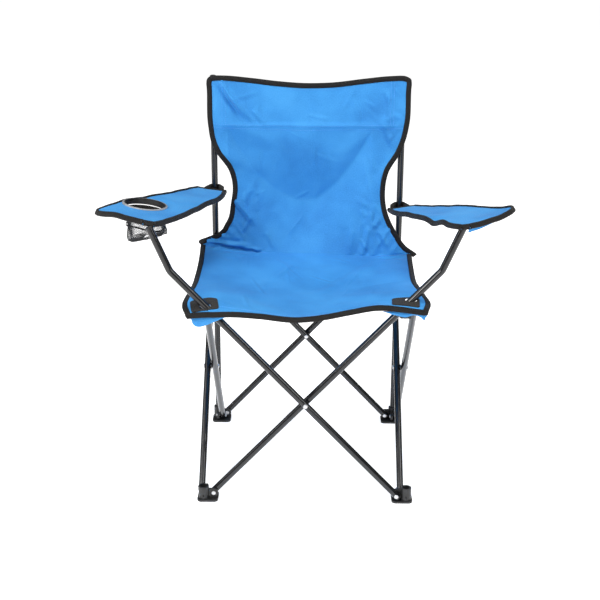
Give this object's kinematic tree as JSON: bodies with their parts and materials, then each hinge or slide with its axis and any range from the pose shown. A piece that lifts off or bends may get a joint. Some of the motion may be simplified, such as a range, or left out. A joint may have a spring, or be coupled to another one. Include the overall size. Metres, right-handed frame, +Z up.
{
  "type": "folding camp chair",
  "caption": "Folding camp chair: crossed steel tube frame that folds to a bundle, cloth seat and back, two cloth armrests, one with a cup ring and net bag.",
  "frame": {"origin": "on the floor, under the middle of the opened chair", "axes": "+Z up, the sitter faces -Y, +X is on the right when looking at the chair from the front"},
  "size_m": [0.815, 0.4441, 0.798],
  "materials": {
    "black_paint": "gloss powder coat on 14 mm steel tube",
    "rivet_steel": "satin",
    "black_plastic": "moulded, satin",
    "ring_plastic": "silver grey moulded ring",
    "blue_cloth": "plain weave polyester",
    "black_webbing": "woven tape",
    "black_mesh": "open net"
  },
  "bodies": {
    "front_left_foot": {"front_left_foot": "black_plastic", "front_left_foot_rivets": "rivet_steel"},
    "front_right_foot": {"front_right_foot": "black_plastic", "front_right_foot_rivets": "rivet_steel"},
    "rear_right_foot": {"rear_right_foot": "black_plastic", "rear_right_foot_rivets": "rivet_steel", "rear_right_post": "black_paint", "rear_right_post_cap": "black_plastic", "rear_right_post_screw": "rivet_steel"},
    "rear_left_foot": {"rear_left_foot": "black_plastic", "rear_left_foot_rivets": "rivet_steel", "rear_left_post": "black_paint", "rear_left_post_cap": "black_plastic", "rear_left_post_screw": "rivet_steel", "back_panel": "blue_cloth"},
    "front_inner_tube": {"front_inner_tube": "black_paint", "front_inner_tube_caps": "black_plastic"},
    "front_outer_tube": {"front_outer_tube": "black_paint", "front_outer_tube_caps": "black_plastic", "front_crossing_rivet": "rivet_steel", "front_crossing_spacer": "black_plastic"},
    "right_inner_tube": {"right_inner_tube": "black_paint", "right_inner_tube_caps": "black_plastic"},
    "right_outer_tube": {"right_outer_tube": "black_paint", "right_outer_tube_caps": "black_plastic", "right_crossing_rivet": "rivet_steel", "right_crossing_spacer": "black_plastic"},
    "rear_inner_tube": {"rear_inner_tube": "black_paint", "rear_inner_tube_caps": "black_plastic"},
    "rear_outer_tube": {"rear_outer_tube": "black_paint", "rear_outer_tube_caps": "black_plastic", "rear_crossing_rivet": "rivet_steel", "rear_crossing_spacer": "black_plastic"},
    "left_inner_tube": {"left_inner_tube": "black_paint", "left_inner_tube_caps": "black_plastic"},
    "left_outer_tube": {"left_outer_tube": "black_paint", "left_outer_tube_caps": "black_plastic", "left_crossing_rivet": "rivet_steel", "left_crossing_spacer": "black_plastic"},
    "front_left_hub": {"front_left_hub": "black_plastic", "front_left_hub_rivets": "rivet_steel", "front_left_corner_pocket": "blue_cloth"},
    "front_right_hub": {"front_right_hub": "black_plastic", "front_right_hub_rivets": "rivet_steel", "front_right_corner_pocket": "blue_cloth"},
    "rear_right_slider": {"rear_right_slider": "black_plastic", "rear_right_hub_rivets": "rivet_steel"},
    "rear_left_slider": {"rear_left_slider": "black_plastic", "rear_left_hub_rivets": "rivet_steel"},
    "seat_front": {"seat_front_half": "blue_cloth", "seat_corner_patches": "black_webbing"},
    "seat_rear": {"seat_rear_half": "blue_cloth"},
    "left_arm_front": {"left_armrest_front": "blue_cloth", "cup_ring": "ring_plastic", "cup_mesh_bag": "black_mesh"},
    "right_arm_front": {"right_armrest_front": "blue_cloth"},
    "left_arm_rear": {"left_armrest_rear": "blue_cloth"},
    "left_arm_loop": {"left_armrest_loop": "black_webbing"},
    "right_arm_rear": {"right_armrest_rear": "blue_cloth"},
    "right_arm_loop": {"right_armrest_loop": "black_webbing"}
  },
  "joints": [
    {"name": "fold", "type": "hinge", "parent": "front_left_foot", "child": "front_inner_tube", "pos_m": [-0.184, -0.1937, 0.0148], "axis": [0, -1, 0], "range_deg": [0, 37.4], "deforming": ["back_panel", "seat_front_half", "seat_rear_half", "seat_corner_patches", "front_left_corner_pocket", "front_right_corner_pocket", "cup_mesh_bag", "left_armrest_front", "left_armrest_rear", "left_armrest_loop", "right_armrest_front", "right_armrest_rear", "right_armrest_loop"]},
    {"name": "front_crossing", "type": "hinge", "parent": "front_inner_tube", "child": "front_outer_tube", "pos_m": [0, -0.2015, 0.2094], "axis": [0, 1, 0], "range_deg": [0, 74.81]},
    {"name": "front_right_foot_pivot", "type": "hinge", "parent": "front_outer_tube", "child": "front_right_foot", "pos_m": [0.184, -0.2093, 0.0148], "axis": [0, -1, 0], "range_deg": [0, 37.41]},
    {"name": "front_left_hub_pivot", "type": "hinge", "parent": "front_outer_tube", "child": "front_left_hub", "pos_m": [-0.184, -0.2093, 0.404], "axis": [0, -1, 0], "range_deg": [0, 37.41]},
    {"name": "front_right_hub_pivot", "type": "hinge", "parent": "front_inner_tube", "child": "front_right_hub", "pos_m": [0.184, -0.1937, 0.404], "axis": [0, 1, 0], "range_deg": [0, 37.41]},
    {"name": "left_outer_foot_pivot", "type": "hinge", "parent": "front_left_foot", "child": "left_outer_tube", "pos_m": [-0.2093, -0.184, 0.0148], "axis": [1, 0, 0], "range_deg": [0, 37.41]},
    {"name": "left_crossing", "type": "hinge", "parent": "left_outer_tube", "child": "left_inner_tube", "pos_m": [-0.2015, 0, 0.2094], "axis": [-1, 0, 0], "range_deg": [0, 74.81]},
    {"name": "rear_left_foot_pivot", "type": "hinge", "parent": "left_inner_tube", "child": "rear_left_foot", "pos_m": [-0.1937, 0.184, 0.0148], "axis": [1, 0, 0], "range_deg": [0, 37.41]},
    {"name": "rear_left_slider_pivot", "type": "hinge", "parent": "left_outer_tube", "child": "rear_left_slider", "pos_m": [-0.2093, 0.184, 0.404], "axis": [-1, 0, 0], "range_deg": [0, 37.41]},
    {"name": "right_inner_foot_pivot", "type": "hinge", "parent": "front_right_foot", "child": "right_inner_tube", "pos_m": [0.1937, -0.184, 0.0148], "axis": [1, 0, 0], "range_deg": [0, 37.41]},
    {"name": "right_crossing", "type": "hinge", "parent": "right_inner_tube", "child": "right_outer_tube", "pos_m": [0.2015, 0, 0.2094], "axis": [-1, 0, 0], "range_deg": [0, 74.81]},
    {"name": "rear_right_slider_pivot", "type": "hinge", "parent": "right_inner_tube", "child": "rear_right_slider", "pos_m": [0.1937, 0.184, 0.404], "axis": [-1, 0, 0], "range_deg": [0, 37.41]},
    {"name": "rear_outer_foot_pivot", "type": "hinge", "parent": "rear_left_foot", "child": "rear_outer_tube", "pos_m": [-0.184, 0.2093, 0.0148], "axis": [0, -1, 0], "range_deg": [0, 37.41]},
    {"name": "rear_crossing", "type": "hinge", "parent": "rear_outer_tube", "child": "rear_inner_tube", "pos_m": [0, 0.2015, 0.2094], "axis": [0, 1, 0], "range_deg": [0, 74.81]},
    {"name": "rear_right_foot_pivot", "type": "hinge", "parent": "rear_inner_tube", "child": "rear_right_foot", "pos_m": [0.184, 0.1937, 0.0148], "axis": [0, -1, 0], "range_deg": [0, 37.41]},
    {"name": "seat_front_turn", "type": "hinge", "parent": "front_left_hub", "child": "seat_front", "pos_m": [0, -0.181, 0.413], "axis": [-1, 0, 0], "range_deg": [0, 84.01]},
    {"name": "seat_rear_turn", "type": "hinge", "parent": "rear_left_slider", "child": "seat_rear", "pos_m": [0, 0.181, 0.413], "axis": [1, 0, 0], "range_deg": [0, 84.01]},
    {"name": "left_arm_front_turn", "type": "hinge", "parent": "front_outer_tube", "child": "left_arm_front", "pos_m": [-0.2955, -0.2093, 0.5735], "axis": [-0.5574, -0.6395, 0.5295], "range_deg": [0, 131.65]},
    {"name": "left_loop_slide", "type": "slide", "parent": "rear_left_foot", "child": "left_arm_loop", "axis": [0, 0, 1], "range_m": [0, 0.18881]},
    {"name": "left_arm_rear_turn", "type": "hinge", "parent": "left_arm_loop", "child": "left_arm_rear", "pos_m": [-0.204, 0.204, 0.54812], "axis": [0.6772, 0.6239, 0.3901], "range_deg": [0, 127.46]},
    {"name": "right_arm_front_turn", "type": "hinge", "parent": "front_inner_tube", "child": "right_arm_front", "pos_m": [0.2955, -0.1937, 0.5765], "axis": [-0.5766, 0.6176, -0.5349], "range_deg": [0, 132.05]},
    {"name": "right_loop_slide", "type": "slide", "parent": "rear_right_foot", "child": "right_arm_loop", "axis": [0, 0, 1], "range_m": [0, 0.2418]},
    {"name": "right_arm_rear_turn", "type": "hinge", "parent": "right_arm_loop", "child": "right_arm_rear", "pos_m": [0.204, 0.204, 0.51049], "axis": [0.6778, -0.5959, -0.4308], "range_deg": [0, 127.2]}
  ],
  "couplings": [
    {"joint": "front_crossing", "follows": "fold", "ratio": 2},
    {"joint": "front_right_foot_pivot", "follows": "fold", "ratio": 1},
    {"joint": "front_left_hub_pivot", "follows": "fold", "ratio": 1},
    {"joint": "front_right_hub_pivot", "follows": "fold", "ratio": 1},
    {"joint": "left_outer_foot_pivot", "follows": "fold", "ratio": 1},
    {"joint": "left_crossing", "follows": "fold", "ratio": 2},
    {"joint": "rear_left_foot_pivot", "follows": "fold", "ratio": 1},
    {"joint": "rear_left_slider_pivot", "follows": "fold", "ratio": 1},
    {"joint": "right_inner_foot_pivot", "follows": "fold", "ratio": 1},
    {"joint": "right_crossing", "follows": "fold", "ratio": 2},
    {"joint": "rear_right_slider_pivot", "follows": "fold", "ratio": 1},
    {"joint": "rear_outer_foot_pivot", "follows": "fold", "ratio": 1},
    {"joint": "rear_crossing", "follows": "fold", "ratio": 2},
    {"joint": "rear_right_foot_pivot", "follows": "fold", "ratio": 1},
    {"joint": "seat_front_turn", "follows": "fold", "ratio": 2.246},
    {"joint": "seat_rear_turn", "follows": "fold", "ratio": 2.246},
    {"joint": "left_arm_front_turn", "follows": "fold", "ratio": 3.5197},
    {"joint": "left_loop_slide", "follows": "fold", "m_per_rad": 0.28924},
    {"joint": "left_arm_rear_turn", "follows": "fold", "ratio": 3.4078},
    {"joint": "right_arm_front_turn", "follows": "fold", "ratio": 3.5304},
    {"joint": "right_loop_slide", "follows": "fold", "m_per_rad": 0.37042},
    {"joint": "right_arm_rear_turn", "follows": "fold", "ratio": 3.4008}
  ]
}
